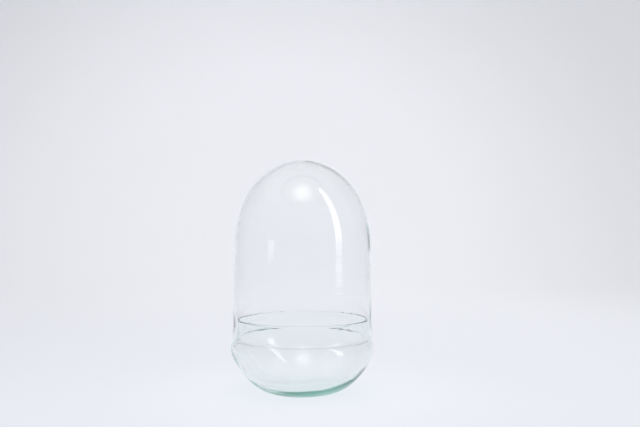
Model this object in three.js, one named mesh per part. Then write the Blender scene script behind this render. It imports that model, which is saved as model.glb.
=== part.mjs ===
// A capsule terrarium of clear, faintly green blown glass, empty, in two pieces: a thick-based
// bowl with a collar, and a dome that rests on the bowl's shoulder round that collar.
// Millimetres, +Z up. The origin is the centre of the bowl's flat base, on the surface it stands on.

import * as THREE from 'three';

// Driving dimensions of the bowl. Heights are above the base.
const footRadius = 33; // flat ground base
const bowlRadius = 90; // widest place
const widestHeight = 54.5;
const footReach = 35; // how far the wall runs out from the foot before it climbs
const wallReach = 9; // how far the wall comes up straight below the widest place
const shoulderWidth = 12; // half-axes of the rounding above the widest place
const shoulderRise = 16;
const shoulderEndRadius = 83.8; // where the rounding turns into the collar's fillet
const collarRadius = 82.5;
const collarFillet = 1.8;
const collarTop = 92.2;
const collarLean = 0.3; // how much narrower the collar is at its top
const floorThickness = 4.3;
const baseHeight = 22; // the thick base has thinned out to the wall this high up
const bowlWall = 2.7;
const collarWall = 2.6;
const rimRounding = 1; // height of the fire-polished edge on top of the collar

// Driving dimensions of the dome.
const domeRadius = 87.3; // wall at the rim, before its flare
const domeTop = 291.7;
const capHeight = 108; // the straight wall turns into the cap this far below the top
const capFullness = 2.21; // 2 is an ellipse, more is fuller
const wallLean = 0.016; // how much narrower the wall gets for each millimetre upward
const rimFlare = 0.6; // the rim stands out by this much
const flareHeight = 30;
const domeWall = 2.2;
const rimWall = 3; // the wall thickens towards the rim
const rimBevel = 0.5; // ground edge

// How the dome rests: its rim's inner edge lies on the shoulder, with a thin gap between the two.
const restingGap = 0.3;

const segments = 60;

const point = (r, z) => new THREE.Vector2(r, z);
const between = THREE.MathUtils.lerp;

// The curves one after another as one outline, with each shared end kept once.
function joined(...curves) {
  return curves.flat().filter((p, i, all) => i === 0 || p.distanceTo(all[i - 1]) > 1e-4);
}

// The wall's inner face: each point of an outline moved square to it by the wall's thickness there.
// The outline runs upward with the axis on its left.
function inset(outline, thicknessAt) {
  return outline.map((p, i) => {
    const before = outline[Math.max(i - 1, 0)];
    const after = outline[Math.min(i + 1, outline.length - 1)];
    const along = after.clone().sub(before).normalize();
    const moved = p.clone().addScaledVector(point(-along.y, along.x), thicknessAt(p.y));
    if (p.x === 0) moved.x = 0;
    return moved;
  });
}

function shoulderHeight(r) {
  const share = (r - bowlRadius + shoulderWidth) / shoulderWidth;
  return widestHeight + shoulderRise * Math.sqrt(1 - share * share);
}

function shoulderSlope(r) {
  const share = (r - bowlRadius + shoulderWidth) / shoulderWidth;
  return (-shoulderRise * share) / (shoulderWidth * Math.sqrt(1 - share * share));
}

// The bowl's outside from the centre of its base up to just below the collar's rounded edge.
function bowlOutline() {
  const foot = [point(0, 0), point(footRadius, 0)];
  const wall = new THREE.CubicBezierCurve(
    point(footRadius, 0),
    point(footRadius + footReach, 0),
    point(bowlRadius, widestHeight - wallReach),
    point(bowlRadius, widestHeight),
  ).getPoints(10);
  const centre = bowlRadius - shoulderWidth;
  const turn = Math.acos((shoulderEndRadius - centre) / shoulderWidth);
  const shoulder = new THREE.EllipseCurve(
    centre, widestHeight, shoulderWidth, shoulderRise, 0, turn,
  ).getPoints(5);
  const shoulderEnd = point(shoulderEndRadius, shoulderHeight(shoulderEndRadius));
  const cornerHeight =
    shoulderEnd.y + shoulderSlope(shoulderEndRadius) * (collarRadius - shoulderEndRadius);
  const fillet = new THREE.QuadraticBezierCurve(
    shoulderEnd,
    point(collarRadius, cornerHeight),
    point(collarRadius, cornerHeight + collarFillet),
  ).getPoints(3);
  const collar = [
    point(collarRadius, cornerHeight + collarFillet),
    point(collarRadius - collarLean, collarTop - rimRounding),
  ];
  return joined(foot, wall, shoulder, fillet, collar);
}

// The thick base thins out to the wall, and the wall a very little more up to the collar's edge.
function bowlThickness(z) {
  const depth = Math.max(1 - z / baseHeight, 0);
  const rise = THREE.MathUtils.clamp((z - widestHeight) / (collarTop - widestHeight), 0, 1);
  return between(bowlWall, collarWall, rise) + (floorThickness - bowlWall) * depth ** 1.5;
}

function bowlProfile() {
  const outside = bowlOutline();
  const inside = inset(outside, bowlThickness);
  const outerEnd = outside.at(-1);
  const innerEnd = inside.at(-1);
  const middle = (outerEnd.x + innerEnd.x) / 2;
  const edge = new THREE.EllipseCurve(
    middle, outerEnd.y, outerEnd.x - middle, rimRounding, 0, Math.PI,
  ).getPoints(6);
  return joined(outside, edge, inside.slice(0, -1).reverse());
}

// The height of the dome's rim, where its inner edge stands off the shoulder by the resting gap.
function domeRimHeight() {
  const contactRadius = domeRadius + rimFlare - rimWall + rimBevel;
  const upright = restingGap * Math.hypot(1, shoulderSlope(contactRadius));
  return shoulderHeight(contactRadius) + upright;
}

function domeRadiusAt(z, rim) {
  const flare = Math.max(1 - (z - rim) / flareHeight, 0);
  return domeRadius - wallLean * (z - rim) + rimFlare * flare * flare;
}

// The dome's outside from just above its ground rim up to the top.
function domeOutline(rim) {
  const capStart = domeTop - capHeight;
  const wall = [0, 0.35, 0.7, 1]
    .map((share) => between(rim + rimBevel, rim + flareHeight, share))
    .concat(capStart)
    .map((z) => point(domeRadiusAt(z, rim), z));
  const cap = [];
  const steps = 12;
  for (let i = 0; i <= steps; i += 1) {
    const turn = (Math.PI / 2) * (i / steps);
    const z = capStart + capHeight * Math.sin(turn) ** (2 / capFullness);
    cap.push(point(i === steps ? 0 : domeRadiusAt(z, rim) * Math.cos(turn), z));
  }
  return joined(wall, cap);
}

function domeProfile() {
  const rim = domeRimHeight();
  const thickness = (z) => between(rimWall, domeWall, Math.min((z - rim) / flareHeight, 1));
  const outside = domeOutline(rim);
  const inside = inset(outside, thickness);
  const ground = [
    point(inside[0].x + rimBevel, rim),
    point(outside[0].x - rimBevel, rim),
  ];
  return joined(inside.reverse(), ground, outside);
}

function glassPiece(name, profile) {
  const material = new THREE.MeshStandardMaterial({
    color: 0xdcefe8,
    roughness: 0.03,
    metalness: 0,
    transparent: true,
    opacity: 0.35,
  });
  const mesh = new THREE.Mesh(new THREE.LatheGeometry(profile, segments), material);
  mesh.name = name;
  mesh.rotation.x = Math.PI / 2; // the lathe turns about Y, the piece stands along Z
  return mesh;
}

const terrarium = new THREE.Group();
terrarium.add(glassPiece('bowl', bowlProfile()));
terrarium.add(glassPiece('dome', domeProfile()));

export default terrarium;
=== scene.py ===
"""A capsule terrarium of clear, faintly green blown glass, empty, standing on a pale studio sweep.

The bowl has a thick base and a collar; the dome rests on its shoulder round that collar. Both are
turned outlines, given the slight unevenness of blown glass. Outlines are in millimetres, and
everything else in metres.
"""

import math

import bmesh
import bpy
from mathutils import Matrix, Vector, noise


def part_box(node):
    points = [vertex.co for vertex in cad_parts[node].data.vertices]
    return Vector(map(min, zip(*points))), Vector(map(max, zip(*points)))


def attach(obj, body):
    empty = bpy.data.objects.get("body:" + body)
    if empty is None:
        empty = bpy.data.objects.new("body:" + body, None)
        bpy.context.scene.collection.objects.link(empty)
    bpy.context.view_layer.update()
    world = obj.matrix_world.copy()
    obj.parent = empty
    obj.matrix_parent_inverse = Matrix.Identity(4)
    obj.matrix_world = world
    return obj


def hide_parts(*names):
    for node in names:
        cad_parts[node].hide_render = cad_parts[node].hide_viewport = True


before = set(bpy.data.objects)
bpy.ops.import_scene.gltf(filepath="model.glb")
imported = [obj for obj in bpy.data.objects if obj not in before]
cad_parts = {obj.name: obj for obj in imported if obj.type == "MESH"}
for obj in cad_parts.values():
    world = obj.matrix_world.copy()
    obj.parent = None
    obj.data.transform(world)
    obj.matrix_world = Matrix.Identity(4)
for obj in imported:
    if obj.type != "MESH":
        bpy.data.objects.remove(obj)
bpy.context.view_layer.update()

MM = 0.001

# ---- sizes read from the frame, in millimetres ----
_, bowl_high = (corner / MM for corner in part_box("bowl"))
dome_low, dome_high = (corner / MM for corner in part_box("dome"))
BOWL_RADIUS = bowl_high.x
COLLAR_TOP = bowl_high.z
DOME_RIM = dome_low.z
DOME_TOP = dome_high.z
DOME_RIM_RADIUS = dome_high.x

# ---- the bowl ----
FOOT_RADIUS = 33.0
WIDEST_HEIGHT = 54.5
FOOT_REACH = 35.0  # how far the wall runs out from the foot before it climbs
WALL_REACH = 9.0  # how far it comes up straight below the widest place
SHOULDER_WIDTH = 12.0
SHOULDER_RISE = 16.0
SHOULDER_END_RADIUS = 83.8
COLLAR_RADIUS = 82.5
COLLAR_FILLET = 1.8
COLLAR_LEAN = 0.3
FLOOR_THICKNESS = 4.3
BASE_HEIGHT = 22.0  # the thick base has thinned out to the wall this high up
BOWL_WALL = 2.7
COLLAR_WALL = 2.6
RIM_ROUNDING = 1.0

# ---- the bowl's cavity, blown a little out of true ----
CAVITY_SHIFT = 0.9  # how far it sits to the right
SHIFT_FULL = 18.0  # the shift grows up to this height,
SHIFT_FADES = 32.0  # lessens from this one
SHIFT_FADE = 24.0  # and is gone this much higher
FLOOR_TILT = 0.018  # how steeply its floor rises to the right

# ---- the dome ----
CAP_HEIGHT = 108.0
CAP_FULLNESS = 2.21  # 2 is an ellipse, more is fuller
WALL_LEAN = 0.016
RIM_FLARE = 0.6
FLARE_HEIGHT = 30.0
DOME_WALL = 2.2
RIM_WALL = 3.0
RIM_BEVEL = 0.5

# ---- slow unevenness of the blown faces: how far they stand out, how long the swells are, seed ----
BOWL_OUTSIDE = (0.12, 38.0, 3.1)
BOWL_INSIDE = (0.25, 30.0, 7.7)
DOME_OUTSIDE = (0.15, 45.0, 5.3)
DOME_INSIDE = (0.25, 36.0, 9.4)
SWELL_RADIUS = 60.0
BOWL_TRUE = 4.0  # the foot and the collar's edge are true over this height,
DOME_TRUE = 3.0  # the dome's rim over this one,
FOOT_FADE = 20.0  # and the unevenness has grown this far above them
COLLAR_FADE = 12.0  # or this far below the collar's edge
AXIS_FADE = 30.0  # it dies away inside this radius

# ---- the glass ----
IOR = 1.52
BOWL_ABSORBS = (11.0, 4.6, 6.2)  # of red, green and blue, per metre: the bowl is the greener glass
DOME_ABSORBS = (3.6, 1.8, 2.2)
PASSED_ON = (0.998, 0.997, 0.997, 1)  # the share of a lamp's light that each face lets through
BOWL_WAVES = 0.00011  # height of the waves, in metres
DOME_WAVES = 0.00006
WAVE_SCALE = (9.0, 9.0, 230.0)  # they are long across and short upward
GROUND_ROUGHNESS = 0.12  # of the dome's ground rim
GROUND_FACE = 0.1  # up to this height above its lowest place it is fully matt

# ---- how finely the pieces are turned ----
SEGMENTS = 224
AXIS = 1e-6  # a smaller radius is on the axis

# ---- the photograph's view: a level camera, 640 x 427 pixels ----
FRAME_WIDTH = 640
SENSOR = 36.0
LENS = 48.0
CAMERA_DISTANCE = 1.078
CAMERA_HEIGHT = 0.2245
AXIS_PIXEL = 302.6  # the column where the vessel's axis stands
FOCAL_PIXELS = LENS / SENSOR * FRAME_WIDTH

# ---- the studio ----
FLOOR_DROP = 0.0002  # the floor lies this far under the base, so the two faces don't fight
SWEEP_FLOOR = 1.5  # radius at which the floor bends up into the wall
SWEEP_BEND = 1.2
SWEEP_TOP = 2.4
PAPER_COLOR = (0.842, 0.848, 0.873)
# painted light on the sweep: its colour is painted darker on the wall and lighter at the foot, in place
# of lamp light
WALL_PAINTED_SHADE = 0.15  # painted shade: how much darker the sweep is painted away from the wall's most lit place,
WALL_PAINTED_LIGHTEST = (-0.25, 0.3)  # which is here, across and up,
PAINTED_LIGHT_REACH = 0.6  # the painted light stays full this far round it
PAINTED_SHADE_FADE = 1.2  # and the painted shade is full this much further out,
PAINTED_LIGHT_SQUASH = 1.3  # or sooner by this factor upward
FOOT_PAINTED_LIGHT = (0.075, 0.06, 0.065)  # painted pool of light: how much lighter the floor is painted at the vessel's foot, by colour
FOOT_PAINTED_LIGHT_RADIUS = 0.32
ROOM_COLOR = (0.98, 0.99, 1.0, 1)
ROOM_LIGHT = 0.7  # brightness of the room above the sweep
ROOM_SLOPE = 0.08  # and how much more of it there is to the left, less to the right
ROOM_EDGE = 0.8  # how far aside, of 1, that is reached
FLAG_LIGHT = 0.45  # the dark screen's brightness
LIGHT_BOUNCES = 64


# ------------------------------------------------------------------ outlines


def mixed(a, b, share):
    return a + (b - a) * share


def smooth(share):
    share = min(max(share, 0.0), 1.0)
    return share * share * (3 - 2 * share)


def bezier(points, steps):
    """Points along a quadratic or cubic Bezier curve."""
    curve = []
    for i in range(steps + 1):
        layer = [Vector(p) for p in points]
        while len(layer) > 1:
            layer = [a.lerp(b, i / steps) for a, b in zip(layer, layer[1:])]
        curve.append(layer[0])
    return curve


def ellipse(centre, half_axes, start, end, steps):
    turns = [mixed(start, end, i / steps) for i in range(steps + 1)]
    return [
        Vector((centre[0] + half_axes[0] * math.cos(t), centre[1] + half_axes[1] * math.sin(t)))
        for t in turns
    ]


def line(start, end, steps):
    return [Vector(start).lerp(Vector(end), i / steps) for i in range(steps + 1)]


def joined(*curves):
    """The curves one after another, with each shared end kept once."""
    outline = []
    for point in (p for curve in curves for p in curve):
        if not outline or (point - outline[-1]).length > 1e-4:
            outline.append(point)
    return outline


def inset(outline, thickness_at):
    """The wall's inner face: each point moved square to the outline, which has the axis on its left."""
    moved = []
    for i, point in enumerate(outline):
        along = (outline[min(i + 1, len(outline) - 1)] - outline[max(i - 1, 0)]).normalized()
        inner = point + Vector((-along.y, along.x)) * thickness_at(point.y)
        if point.x < AXIS:
            inner.x = 0.0
        moved.append(inner)
    return moved


def shoulder_at(radius):
    """Height and slope of the shoulder's rounding."""
    share = (radius - BOWL_RADIUS + SHOULDER_WIDTH) / SHOULDER_WIDTH
    upright = math.sqrt(1 - share * share)
    height = WIDEST_HEIGHT + SHOULDER_RISE * upright
    return height, -SHOULDER_RISE * share / (SHOULDER_WIDTH * upright)


def bowl_outline():
    foot = line((0, 0), (FOOT_RADIUS, 0), 14)
    wall = bezier(
        [
            (FOOT_RADIUS, 0),
            (FOOT_RADIUS + FOOT_REACH, 0),
            (BOWL_RADIUS, WIDEST_HEIGHT - WALL_REACH),
            (BOWL_RADIUS, WIDEST_HEIGHT),
        ],
        72,
    )
    centre = BOWL_RADIUS - SHOULDER_WIDTH
    turn = math.acos((SHOULDER_END_RADIUS - centre) / SHOULDER_WIDTH)
    shoulder = ellipse((centre, WIDEST_HEIGHT), (SHOULDER_WIDTH, SHOULDER_RISE), 0, turn, 20)
    height, slope = shoulder_at(SHOULDER_END_RADIUS)
    corner = height + slope * (COLLAR_RADIUS - SHOULDER_END_RADIUS)
    collar_foot = (COLLAR_RADIUS, corner + COLLAR_FILLET)
    fillet = bezier([(SHOULDER_END_RADIUS, height), (COLLAR_RADIUS, corner), collar_foot], 8)
    collar = line(collar_foot, (COLLAR_RADIUS - COLLAR_LEAN, COLLAR_TOP - RIM_ROUNDING), 12)
    return joined(foot, wall, shoulder, fillet, collar)


def bowl_thickness(z):
    base = (FLOOR_THICKNESS - BOWL_WALL) * max(1 - z / BASE_HEIGHT, 0.0) ** 1.5
    rise = (z - WIDEST_HEIGHT) / (COLLAR_TOP - WIDEST_HEIGHT)
    return mixed(BOWL_WALL, COLLAR_WALL, min(max(rise, 0.0), 1.0)) + base


def dome_radius_at(z):
    flare = max(1 - (z - DOME_RIM) / FLARE_HEIGHT, 0.0)
    wall = DOME_RIM_RADIUS - RIM_FLARE - WALL_LEAN * (z - DOME_RIM)
    return wall + RIM_FLARE * flare * flare


def dome_outline():
    cap_start = DOME_TOP - CAP_HEIGHT
    flare_end = DOME_RIM + FLARE_HEIGHT
    heights = [mixed(DOME_RIM + RIM_BEVEL, flare_end, i / 16) for i in range(17)]
    heights += [mixed(flare_end, cap_start, i / 20) for i in range(1, 21)]
    wall = [Vector((dome_radius_at(z), z)) for z in heights]
    cap = []
    steps = 64
    for i in range(1, steps + 1):
        turn = math.pi / 2 * i / steps
        z = cap_start + CAP_HEIGHT * math.sin(turn) ** (2 / CAP_FULLNESS)
        cap.append(Vector((0.0 if i == steps else dome_radius_at(z) * math.cos(turn), z)))
    return joined(wall, cap)


def dome_thickness(z):
    return mixed(RIM_WALL, DOME_WALL, min((z - DOME_RIM) / FLARE_HEIGHT, 1.0))


# ------------------------------------------------------------------ blown pieces


def swell(face, angle, z):
    """How far a blown face stands out at this place, the same each time."""
    height, spacing, seed = face
    around = Vector((math.cos(angle), math.sin(angle))) * (SWELL_RADIUS / spacing)
    return height * noise.noise(Vector((around.x + seed, around.y - seed, z / spacing)))


def turned(name, outline, move):
    """A closed mesh turned from an outline that starts and ends on the axis."""
    bm = bmesh.new()
    rings = []
    for index, point in enumerate(outline):
        count = 1 if point.x < AXIS else SEGMENTS
        ring = []
        for i in range(count):
            angle = 2 * math.pi * i / SEGMENTS
            ring.append(bm.verts.new(move(index, point, angle) * MM))
        rings.append(ring)
    for below, above in zip(rings, rings[1:]):
        for i in range(SEGMENTS):
            j = (i + 1) % SEGMENTS
            if len(below) == 1:
                bm.faces.new((below[0], above[j], above[i]))
            elif len(above) == 1:
                bm.faces.new((below[i], below[j], above[0]))
            else:
                bm.faces.new((below[i], below[j], above[j], above[i]))
    bm.normal_update()
    mesh = bpy.data.meshes.new(name)
    bm.to_mesh(mesh)
    bm.free()
    mesh.shade_smooth()
    piece = bpy.data.objects.new(name, mesh)
    bpy.context.collection.objects.link(piece)
    return piece


def placed(radius, angle, z, shift=0.0):
    return Vector((radius * math.cos(angle) + shift, radius * math.sin(angle), z))


def make_bowl():
    outside = bowl_outline()
    inside = inset(outside, bowl_thickness)
    outer_end, inner_end = outside[-1], inside[-1]
    middle = (outer_end.x + inner_end.x) / 2
    edge = ellipse(
        (middle, outer_end.y), (outer_end.x - middle, RIM_ROUNDING), 0, math.pi, 16
    )
    outline = joined(outside, edge, reversed(inside[:-1]))
    outer_count = len(outside)

    def move(index, point, angle):
        below_edge = smooth((COLLAR_TOP - BOWL_TRUE - point.y) / COLLAR_FADE)
        if index < outer_count:
            above_foot = smooth((point.y - BOWL_TRUE) / FOOT_FADE)
            out = above_foot * below_edge * swell(BOWL_OUTSIDE, angle, point.y)
            return placed(max(point.x + out, 0), angle, point.y)
        deep = 1 - smooth(point.y / WIDEST_HEIGHT)
        out = below_edge * swell(BOWL_INSIDE, angle, point.y)
        away = smooth(point.x / AXIS_FADE)
        z = point.y + FLOOR_TILT * point.x * math.cos(angle) * deep
        aside = smooth(point.y / SHIFT_FULL) * (1 - smooth((point.y - SHIFT_FADES) / SHIFT_FADE))
        return placed(point.x + out * away, angle, z, shift=CAVITY_SHIFT * aside)

    return turned("bowl_glass", outline, move)


def make_dome():
    outside = dome_outline()
    inside = inset(outside, dome_thickness)
    ground = line(
        (inside[0].x + RIM_BEVEL, DOME_RIM), (outside[0].x - RIM_BEVEL, DOME_RIM), 4
    )
    outline = joined(reversed(inside), ground, outside)
    inner_count = len(inside)

    def move(index, point, angle):
        above_rim = smooth((point.y - DOME_RIM - DOME_TRUE) / FOOT_FADE)
        away = smooth(point.x / AXIS_FADE)
        face = DOME_OUTSIDE if index >= inner_count else DOME_INSIDE
        out = above_rim * swell(face, angle, point.y)
        return placed(point.x + out * away, angle, point.y)

    return turned("dome_glass", outline, move)


# ------------------------------------------------------------------ materials


def new_material(name):
    material = bpy.data.materials.new(name)
    material.use_nodes = True
    tree = material.node_tree
    tree.nodes.clear()
    return material, tree, tree.nodes.new("ShaderNodeOutputMaterial")


def glass_material(name, absorbed, wave_height):
    """Clear blown glass that absorbs this much red, green and blue per metre.

    Lamps and the light that the floor gives back pass straight through it.
    """
    material, tree, output = new_material(name)
    nodes, links = tree.nodes, tree.links
    glass = nodes.new("ShaderNodeBsdfPrincipled")
    glass.inputs["Base Color"].default_value = (1, 1, 1, 1)
    glass.inputs["Roughness"].default_value = 0.0
    glass.inputs["IOR"].default_value = IOR
    glass.inputs["Transmission Weight"].default_value = 1.0
    add_drawn_waves(tree, glass, wave_height)
    clear = nodes.new("ShaderNodeBsdfTransparent")
    clear.inputs["Color"].default_value = PASSED_ON
    path = nodes.new("ShaderNodeLightPath")
    straight = nodes.new("ShaderNodeMath")
    straight.operation = "MAXIMUM"
    surface = nodes.new("ShaderNodeMixShader")
    links.new(path.outputs["Is Shadow Ray"], straight.inputs[0])
    links.new(path.outputs["Is Diffuse Ray"], straight.inputs[1])
    links.new(straight.outputs["Value"], surface.inputs["Fac"])
    links.new(glass.outputs["BSDF"], surface.inputs[1])
    links.new(clear.outputs["BSDF"], surface.inputs[2])
    density = max(absorbed)
    tint = nodes.new("ShaderNodeVolumeAbsorption")
    tint.inputs["Color"].default_value = (*(1 - part / density for part in absorbed), 1)
    tint.inputs["Density"].default_value = density
    links.new(surface.outputs["Shader"], output.inputs["Surface"])
    links.new(tint.outputs["Volume"], output.inputs["Volume"])
    return material


def add_drawn_waves(tree, glass, height):
    """The faint level waves that turning leaves round a blown wall, as a bump."""
    place = tree.nodes.new("ShaderNodeTexCoord")
    squash = tree.nodes.new("ShaderNodeMapping")
    squash.inputs["Scale"].default_value = WAVE_SCALE
    waves = tree.nodes.new("ShaderNodeTexNoise")
    waves.inputs["Scale"].default_value = 1.0
    waves.inputs["Detail"].default_value = 2.0
    bump = tree.nodes.new("ShaderNodeBump")
    bump.inputs["Strength"].default_value = 1.0
    bump.inputs["Distance"].default_value = height
    tree.links.new(place.outputs["Object"], squash.inputs["Vector"])
    tree.links.new(squash.outputs["Vector"], waves.inputs["Vector"])
    tree.links.new(waves.outputs["Fac"], bump.inputs["Height"])
    tree.links.new(bump.outputs["Normal"], glass.inputs["Normal"])


def add_ground_rim(material):
    """The dome's ground rim is finely matt, and all else on it polished."""
    tree = material.node_tree
    glass = tree.nodes["Principled BSDF"]
    place = tree.nodes.new("ShaderNodeTexCoord")
    split = tree.nodes.new("ShaderNodeSeparateXYZ")
    above = tree.nodes.new("ShaderNodeMapRange")
    above.inputs["From Min"].default_value = (DOME_RIM + GROUND_FACE) * MM
    above.inputs["From Max"].default_value = (DOME_RIM + RIM_BEVEL) * MM
    above.inputs["To Min"].default_value = GROUND_ROUGHNESS
    above.inputs["To Max"].default_value = 0.0
    tree.links.new(place.outputs["Object"], split.inputs["Vector"])
    tree.links.new(split.outputs["Z"], above.inputs["Value"])
    tree.links.new(above.outputs["Result"], glass.inputs["Roughness"])


def sweep_material():
    """Matt sweep in the colour stored at each point, with the painted shade and painted pool of light
    in it.
    """
    material, tree, output = new_material("sweep_paper_painted_light")
    color = tree.nodes.new("ShaderNodeVertexColor")
    color.layer_name = "paper_and_painted_light"
    paper_and_painted_light = tree.nodes.new("ShaderNodeBsdfDiffuse")
    tree.links.new(color.outputs["Color"], paper_and_painted_light.inputs["Color"])
    tree.links.new(paper_and_painted_light.outputs["BSDF"], output.inputs["Surface"])
    return material


def glow_material(name, color, strength):
    material, tree, output = new_material(name)
    glow = tree.nodes.new("ShaderNodeEmission")
    glow.inputs["Color"].default_value = (*color, 1)
    glow.inputs["Strength"].default_value = strength
    tree.links.new(glow.outputs["Emission"], output.inputs["Surface"])
    return material


def fading_glow(name, core, rim, radius, fall):
    """A disc's emission, from its core's strength in the middle to its rim's at that radius."""
    material = glow_material(name, (1, 1, 1), core)
    nodes, links = material.node_tree.nodes, material.node_tree.links
    place = nodes.new("ShaderNodeTexCoord")
    reach = nodes.new("ShaderNodeVectorMath")
    reach.operation = "LENGTH"
    inward = nodes.new("ShaderNodeMapRange")
    inward.interpolation_type = "SMOOTHSTEP"
    inward.inputs["From Min"].default_value = radius
    inward.inputs["From Max"].default_value = 0.0
    power = nodes.new("ShaderNodeMath")
    power.operation = "POWER"
    power.inputs[1].default_value = fall
    strength = nodes.new("ShaderNodeMath")
    strength.operation = "MULTIPLY_ADD"
    strength.inputs[1].default_value = core - rim
    strength.inputs[2].default_value = rim
    links.new(place.outputs["Object"], reach.inputs[0])
    links.new(reach.outputs["Value"], inward.inputs["Value"])
    links.new(inward.outputs["Result"], power.inputs[0])
    links.new(power.outputs["Value"], strength.inputs[0])
    links.new(strength.outputs["Value"], nodes["Emission"].inputs["Strength"])
    return material


# ------------------------------------------------------------------ studio


def sweep_color_with_painted_light(place):
    """Painted light and shade: the wall is lightest low and left of its middle, and darker round that.

    The floor has a painted pool of light round the vessel's foot, standing in for the light the glass
    gathers there.
    """
    across, up = WALL_PAINTED_LIGHTEST
    away = math.hypot(place.x - across, PAINTED_LIGHT_SQUASH * (place.z - up))
    # painted shade: the wall is darkened away from its most lit place
    shade = WALL_PAINTED_SHADE * smooth((away - PAINTED_LIGHT_REACH) / PAINTED_SHADE_FADE)
    painted_tone = 1.0 - shade * smooth(place.y / SWEEP_FLOOR)
    # painted pool of light round the foot
    painted_pool = 1 - smooth(place.length / FOOT_PAINTED_LIGHT_RADIUS)
    return [painted_tone * part * (1 + painted_pool * more) for part, more in zip(PAPER_COLOR, FOOT_PAINTED_LIGHT)]


def make_sweep():
    """A pale floor that curves up into a wall all the way round."""
    floor_rings, bend_rings, wall_rings, count = 40, 24, 6, 96
    wall_radius = SWEEP_FLOOR + SWEEP_BEND
    outline = [(SWEEP_FLOOR * i / floor_rings, 0.0) for i in range(floor_rings + 1)]
    for i in range(1, bend_rings + 1):
        turn = math.pi / 2 * i / bend_rings
        aside = SWEEP_FLOOR + SWEEP_BEND * math.sin(turn)
        outline.append((aside, SWEEP_BEND - SWEEP_BEND * math.cos(turn)))
    for i in range(1, wall_rings + 1):
        outline.append((wall_radius, mixed(SWEEP_BEND, SWEEP_TOP, i / wall_rings)))
    bm = bmesh.new()
    rings = []
    for reach, z in outline:
        turns = [2 * math.pi * i / count for i in range(count if reach else 1)]
        rings.append(
            [
                bm.verts.new((reach * math.cos(t), reach * math.sin(t), z - FLOOR_DROP))
                for t in turns
            ]
        )
    for below, above in zip(rings, rings[1:]):
        for i in range(count):
            j = (i + 1) % count
            if len(below) == 1:
                bm.faces.new((below[0], above[i], above[j]))
            else:
                bm.faces.new((below[i], above[i], above[j], below[j]))
    mesh = bpy.data.meshes.new("sweep")
    bm.to_mesh(mesh)
    bm.free()
    mesh.shade_smooth()
    # the stored colour holds painted shade on the wall and a painted pool of light at the foot
    paper_and_painted_light = mesh.color_attributes.new("paper_and_painted_light", "FLOAT_COLOR", "POINT")
    for vertex, stored in zip(mesh.vertices, paper_and_painted_light.data):
        stored.color = (*sweep_color_with_painted_light(vertex.co), 1)
    mesh.materials.append(sweep_material())
    sweep = bpy.data.objects.new("sweep", mesh)
    bpy.context.collection.objects.link(sweep)


def area_light(name, place, aim, size, power, color):
    """A round lamp that lights the floor and the walls but isn't mirrored in the glass."""
    data = bpy.data.lights.new(name, "AREA")
    data.shape = "DISK"
    data.size = size
    data.energy = power
    data.color = color
    light = bpy.data.objects.new(name, data)
    light.location = place
    direction = Vector(aim) - Vector(place)
    light.rotation_euler = direction.to_track_quat("-Z", "Y").to_euler()
    light.visible_camera = False
    light.visible_glossy = False
    light.visible_transmission = False
    bpy.context.collection.objects.link(light)


def mirrored_panel(name, corners, material, place=(0, 0, 0), aim=None):
    """A glowing panel that only shows as a reflection in the glass."""
    mesh = bpy.data.meshes.new(name)
    mesh.from_pydata([Vector(c) for c in corners], [], [tuple(range(len(corners)))])
    mesh.materials.append(material)
    panel = bpy.data.objects.new(name, mesh)
    panel.location = place
    if aim is not None:
        direction = Vector(aim) - Vector(place)
        panel.rotation_euler = direction.to_track_quat("-Z", "Y").to_euler()
    bpy.context.collection.objects.link(panel)
    panel.visible_camera = False
    panel.visible_diffuse = False
    panel.visible_shadow = False


def make_lights():
    world = bpy.data.worlds.new("room")
    world.use_nodes = True
    nodes, links = world.node_tree.nodes, world.node_tree.links
    sky = nodes["Background"]
    sky.inputs["Color"].default_value = ROOM_COLOR
    toward = nodes.new("ShaderNodeTexCoord")
    split = nodes.new("ShaderNodeSeparateXYZ")
    across = nodes.new("ShaderNodeMapRange")
    across.inputs["From Min"].default_value = -ROOM_EDGE
    across.inputs["From Max"].default_value = ROOM_EDGE
    across.inputs["To Min"].default_value = ROOM_LIGHT + ROOM_SLOPE
    across.inputs["To Max"].default_value = ROOM_LIGHT - ROOM_SLOPE
    links.new(toward.outputs["Generated"], split.inputs["Vector"])
    links.new(split.outputs["X"], across.inputs["Value"])
    links.new(across.outputs["Result"], sky.inputs["Strength"])
    bpy.context.scene.world = world
    lamps = (  # name, place, what it aims at, size, power, colour
        ("key_light", (0.0, -0.5, 1.4), (0, -0.1, 0), 0.8, 5.6, (0.96, 1.0, 1.06)),
        ("wall_light", (-0.2, 1.2, 1.5), (-0.2, 2.6, 0.5), 0.8, 3.2, (1, 0.99, 0.99)),
        ("back_light", (0.0, 1.2, 2.6), (0, 1.2, 0), 1.5, 10.5, (1, 1, 1)),
        ("side_light", (1.2, 0.6, 1.8), (-0.15, 2.5, 0.4), 0.8, 5.1, (1, 1, 1)),
    )
    for lamp in lamps:
        area_light(*lamp)


def round_softbox(name, place, aim, radius, core):
    """A round lamp mirrored in the glass, brightest in its middle."""
    count = 48
    turns = [2 * math.pi * i / count for i in range(count)]
    corners = [(radius * math.cos(t), radius * math.sin(t), 0) for t in turns]
    light = fading_glow(f"{name}_light", core, ROOM_LIGHT, radius, fall=2.0)
    mirrored_panel(name, corners, light, place, aim)


def make_flag():
    """A dark screen behind the vessel, high on the right, that draws the dome's thin dark edge."""
    left, right, low, high, away = 0.0, 1.3, 1.15, 1.75, 2.3
    corners = [(left, away, low), (right, away, low), (right, away, high), (left, away, high)]
    mirrored_panel("flag", corners, glow_material("flag_cloth", (1, 1, 1), FLAG_LIGHT))


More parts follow.
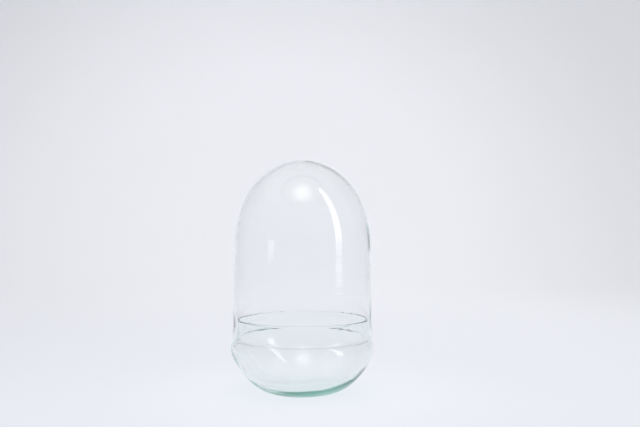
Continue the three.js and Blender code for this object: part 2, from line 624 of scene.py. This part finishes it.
def make_window():
    """A tall window to the right of the camera, seen as the long streak on the dome."""
    azimuth, distance, width = math.radians(62.5), 1.6, 0.335
    panes = (  # lowest and highest edge, strength, colour
        (0.29, 3.2, 3.2, (1, 1, 1)),
        (0.15, 0.28, 2.1, (0.94, 0.96, 1.0)),
        (0.04, 0.128, 2.0, (0.94, 0.96, 1.0)),
    )
    centre = Vector((math.sin(azimuth), -math.cos(azimuth), 0)) * distance
    side = Vector((math.cos(azimuth), math.sin(azimuth), 0)) * (width / 2)
    for number, (low, high, strength, color) in enumerate(panes):
        corners = [
            centre - side + Vector((0, 0, low)),
            centre + side + Vector((0, 0, low)),
            centre + side + Vector((0, 0, high)),
            centre - side + Vector((0, 0, high)),
        ]
        name = f"window_pane_{number}"
        mirrored_panel(name, corners, glow_material(f"{name}_light", color, strength))


def make_camera():
    data = bpy.data.cameras.new("camera")
    data.lens = LENS
    data.sensor_width = SENSOR
    data.clip_start = 0.01
    camera = bpy.data.objects.new("camera", data)
    aside = (FRAME_WIDTH / 2 - AXIS_PIXEL) / FOCAL_PIXELS * CAMERA_DISTANCE
    camera.location = (aside, -CAMERA_DISTANCE, CAMERA_HEIGHT)
    camera.rotation_euler = (math.pi / 2, 0, 0)
    bpy.context.collection.objects.link(camera)
    bpy.context.scene.camera = camera


def set_look():
    """Light runs far along inside the thick base, so paths are long."""
    scene = bpy.context.scene
    scene.view_settings.view_transform = "Standard"
    scene.cycles.max_bounces = LIGHT_BOUNCES
    scene.cycles.transmission_bounces = LIGHT_BOUNCES
    scene.cycles.glossy_bounces = LIGHT_BOUNCES
    scene.cycles.transparent_max_bounces = LIGHT_BOUNCES
    scene.cycles.caustics_reflective = False
    scene.cycles.caustics_refractive = False


# ------------------------------------------------------------------ the scene

bowl_glass = glass_material("green_glass", BOWL_ABSORBS, BOWL_WAVES)
dome_glass = glass_material("clear_glass", DOME_ABSORBS, DOME_WAVES)
add_ground_rim(dome_glass)
for piece, node, glass in (
    (make_bowl(), "bowl", bowl_glass),
    (make_dome(), "dome", dome_glass),
):
    piece.data.materials.append(glass)
    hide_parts(node)
    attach(piece, "root")

make_sweep()
make_lights()
round_softbox("softbox", (0.0, -0.72, 1.55), (0, 0, 0.15), radius=0.75, core=3.1)
make_window()
make_flag()
make_camera()
set_look()
